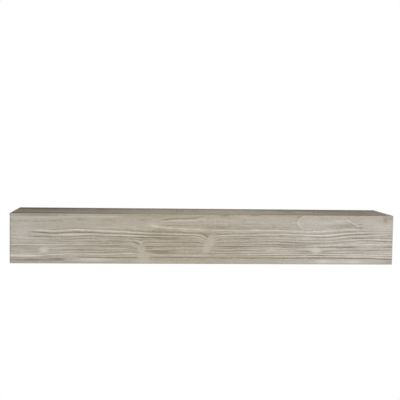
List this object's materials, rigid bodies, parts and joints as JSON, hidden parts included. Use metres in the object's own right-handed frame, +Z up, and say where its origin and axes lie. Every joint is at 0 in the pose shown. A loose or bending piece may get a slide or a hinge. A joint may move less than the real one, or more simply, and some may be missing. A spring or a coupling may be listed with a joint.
{
  "type": "floating mantel shelf",
  "caption": "Hollow box-beam wall shelf of mitred, grey-washed brushed pine boards that hangs on a bevelled cleat screwed to the wall.",
  "frame": {"origin": "on the wall plane, at the middle of the wall cleat's screw line", "axes": "+X along the beam, +Y into the wall, +Z up"},
  "size_m": [1.2192, 0.2286, 0.1588],
  "materials": {
    "weathered_pine": "wire-brushed, grey-washed, matt",
    "raw_pine": "planed, bare",
    "birch_plywood": "sanded, bare",
    "beech": "pressed, bare",
    "zinc_steel": "zinc plated"
  },
  "bodies": {
    "wall_mount": {"wall_cleat": "birch_plywood"},
    "beam": {"front_board": "weathered_pine", "top_board": "weathered_pine", "bottom_board": "weathered_pine", "left_end_board": "weathered_pine", "right_end_board": "weathered_pine", "front_top_biscuits": "beech", "front_bottom_biscuits": "beech", "left_end_biscuits": "beech", "right_end_biscuits": "beech", "rib_1": "raw_pine", "rib_2": "raw_pine", "rib_3": "raw_pine", "top_glue_strip_1": "raw_pine", "top_glue_strip_2": "raw_pine", "top_glue_strip_3": "raw_pine", "top_glue_strip_4": "raw_pine", "bottom_glue_strip_1": "raw_pine", "bottom_glue_strip_2": "raw_pine", "bottom_glue_strip_3": "raw_pine", "bottom_glue_strip_4": "raw_pine", "left_corner_block": "raw_pine", "right_corner_block": "raw_pine", "hanging_cleat": "birch_plywood", "hanging_cleat_screws": "zinc_steel"}
  },
  "joints": [
    {"name": "lift_off", "type": "slide", "parent": "wall_mount", "child": "beam", "axis": [0, -0.7071, 0.7071], "range_m": [0, 0.08]}
  ]
}
